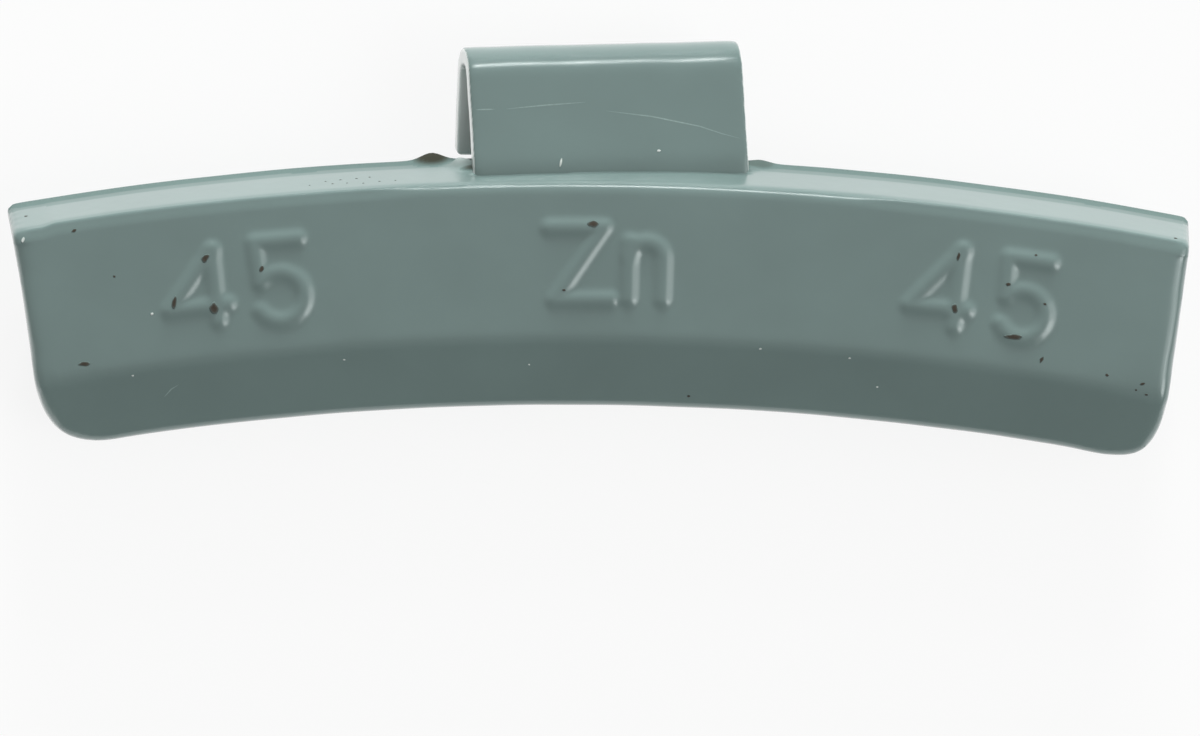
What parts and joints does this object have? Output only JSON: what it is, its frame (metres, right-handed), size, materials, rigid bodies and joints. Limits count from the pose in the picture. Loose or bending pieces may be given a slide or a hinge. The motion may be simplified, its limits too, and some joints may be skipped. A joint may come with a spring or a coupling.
{
  "type": "wheel balance weight",
  "caption": "Curved die-cast weight with a bent spring steel clip that hooks over the edge of a wheel rim to balance the wheel.",
  "frame": {"origin": "middle of the flat seat at the back of the casting, at mid-length", "axes": "+X along the weight, +Y outward from the wheel's axis, towards the clip, +Z out of the front face"},
  "size_m": [0.064, 0.0221, 0.0092],
  "materials": {
    "painted_zinc": "glossy grey enamel",
    "painted_steel": "glossy grey enamel"
  },
  "bodies": {
    "root": {"weight_body": "painted_zinc", "spring_clip": "painted_steel"}
  },
  "joints": []
}
